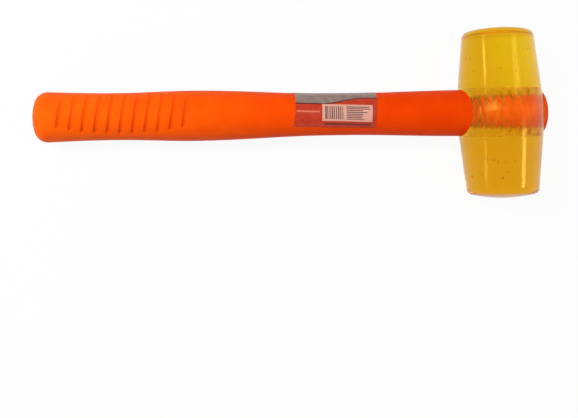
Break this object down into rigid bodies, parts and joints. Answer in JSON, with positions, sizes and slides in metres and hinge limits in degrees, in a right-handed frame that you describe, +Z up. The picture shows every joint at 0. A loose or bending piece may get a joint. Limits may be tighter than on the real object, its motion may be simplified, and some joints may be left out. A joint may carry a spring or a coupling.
{
  "type": "soft face hammer",
  "caption": "Soft face hammer: a translucent amber double-cone head moulded round the ribbed end of a hollow orange handle with a grooved grip and an open front bore.",
  "frame": {"origin": "where the handle's axis crosses the head's axis, on the axis of the handle's straight bore", "axes": "+X along the handle towards its open front lip, +Y along the head towards a striking face, +Z up through the label side"},
  "size_m": [0.3, 0.1028, 0.0526],
  "materials": {
    "handle_plastic": "satin moulded orange polypropylene",
    "head_plastic": "glossy translucent amber plastic",
    "label_film": "semi-gloss printed film",
    "sticker_paper": "white coated paper"
  },
  "bodies": {
    "root": {"handle": "handle_plastic", "head": "head_plastic", "label": "label_film", "sticker": "sticker_paper"}
  },
  "joints": []
}
